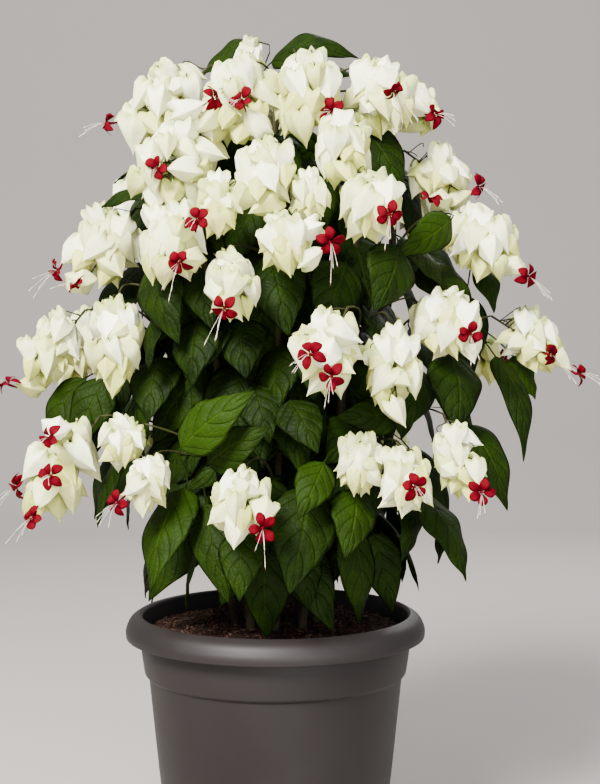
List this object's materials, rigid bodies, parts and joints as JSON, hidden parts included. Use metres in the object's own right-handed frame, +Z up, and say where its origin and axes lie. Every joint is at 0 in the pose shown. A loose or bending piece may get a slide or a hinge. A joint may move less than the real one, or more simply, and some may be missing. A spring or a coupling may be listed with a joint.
{
  "type": "potted bleeding heart vine",
  "caption": "Potted flowering vine grown as a leafy mound, with hanging clusters of white heart-shaped calyces and red flowers, in a round plastic pot with a rolled rim.",
  "frame": {"origin": "centre of the pot's underside, on the surface that it stands on", "axes": "+Z up along the pot's axis, -Y towards the side that the plant is seen from, +X to the right of that view"},
  "size_m": [0.5867, 0.5046, 0.8262],
  "materials": {
    "pot": "satin",
    "potting_mix": "matte",
    "foliage": "satin",
    "bark": "matte",
    "calyces": "satin",
    "corollas": "satin",
    "stamens": "matte"
  },
  "bodies": {
    "root": {"pot": "pot", "potting_mix": "potting_mix", "leafy_cane_back": "foliage", "leafy_cane_back_left": "foliage", "leafy_cane_back_right": "foliage", "leafy_cane_crown": "foliage", "leafy_cane_front": "foliage", "leafy_cane_front_left": "foliage", "leafy_cane_front_right": "foliage", "leafy_cane_left": "foliage", "leafy_cane_right": "foliage", "panicle_01": "calyces", "panicle_02": "calyces", "panicle_03": "calyces", "panicle_04": "calyces", "panicle_05": "calyces", "panicle_06": "calyces", "panicle_07": "calyces", "panicle_08": "calyces", "panicle_09": "calyces", "panicle_10": "calyces", "panicle_11": "calyces", "panicle_12": "calyces", "panicle_13": "calyces", "panicle_14": "calyces", "panicle_15": "calyces", "panicle_16": "calyces", "panicle_17": "calyces", "panicle_18": "calyces", "panicle_19": "calyces", "panicle_20": "calyces", "panicle_21": "calyces", "panicle_22": "calyces", "panicle_23": "calyces", "panicle_24": "calyces", "panicle_25": "calyces", "panicle_26": "calyces", "panicle_27": "calyces", "panicle_28": "calyces", "panicle_29": "calyces", "panicle_30": "calyces", "panicle_31": "calyces", "panicle_32": "calyces", "panicle_33": "calyces", "panicle_34": "calyces", "panicle_35": "calyces", "panicle_36": "calyces", "panicle_37": "calyces", "panicle_38": "calyces", "panicle_39": "calyces", "panicle_40": "calyces", "panicle_41": "calyces", "panicle_42": "calyces", "panicle_43": "calyces", "panicle_44": "calyces", "panicle_45": "calyces", "panicle_46": "calyces"}
  },
  "joints": []
}
